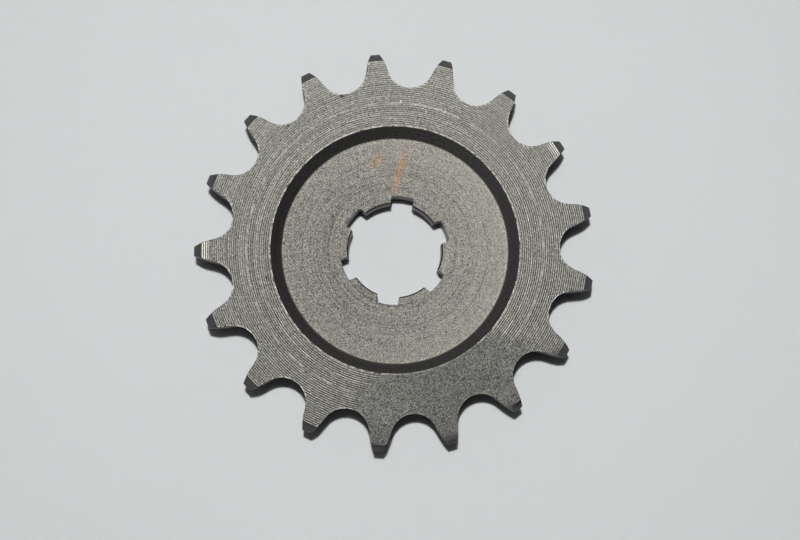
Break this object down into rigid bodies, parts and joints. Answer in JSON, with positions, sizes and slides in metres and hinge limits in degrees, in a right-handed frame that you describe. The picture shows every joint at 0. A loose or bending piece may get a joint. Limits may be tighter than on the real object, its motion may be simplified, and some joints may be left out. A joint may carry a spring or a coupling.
{
  "type": "chain sprocket",
  "caption": "Steel roller chain sprocket with bevelled tooth tips, a turned recess in one face and a straight-sided splined bore.",
  "frame": {"origin": "on the bore axis in the plane of the back face, at the back end of the splined bore", "axes": "+Z along the bore axis out of the recessed face, +Y through the one tooth that stands in line with a spline slot, +X completes a right-handed frame"},
  "size_m": [0.0736, 0.0732, 0.007],
  "materials": {
    "steel": "turned faces with fine feed grooves, dark skin on the tooth bevels, gaps, recess wall and bore"
  },
  "bodies": {
    "root": {"sprocket": "steel"}
  },
  "joints": []
}
